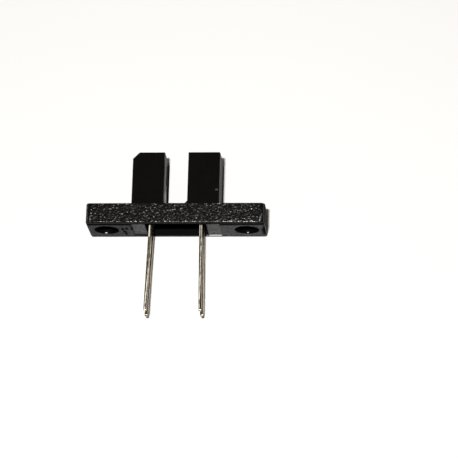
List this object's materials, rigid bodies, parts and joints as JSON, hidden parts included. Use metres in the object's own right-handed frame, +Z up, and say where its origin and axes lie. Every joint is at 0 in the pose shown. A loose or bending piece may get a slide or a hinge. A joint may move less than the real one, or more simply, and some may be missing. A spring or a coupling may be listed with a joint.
{
  "type": "slotted optical switch",
  "caption": "Slotted optical switch with screw ears: an infrared emitter tower faces a detector tower across an open slot, with solder leads below.",
  "frame": {"origin": "midway between the two screw holes, on the seating face of the flange", "axes": "+X along the flange from the emitter tower to the detector tower, +Y from front to back, +Z up through the towers, leads towards -Z"},
  "size_m": [0.0244, 0.0064, 0.0221],
  "materials": {
    "housing": "finely grained black moulding, smoother on the towers",
    "emitter_resin": "clear bluish moulded epoxy",
    "detector_resin": "dark daylight-blocking moulded epoxy",
    "lead": "tinned, slightly warm, drawn along its length",
    "chip": "polished semiconductor",
    "bond_wire": "drawn gold wire"
  },
  "bodies": {
    "root": {"housing": "housing", "emitter_capsule": "emitter_resin", "detector_capsule": "detector_resin", "emitter_anode_lead": "lead", "emitter_cathode_lead": "lead", "detector_collector_lead": "lead", "detector_emitter_lead": "lead", "emitter_chip": "chip", "detector_chip": "chip", "emitter_bond_wire": "bond_wire", "detector_bond_wire": "bond_wire"}
  },
  "joints": []
}
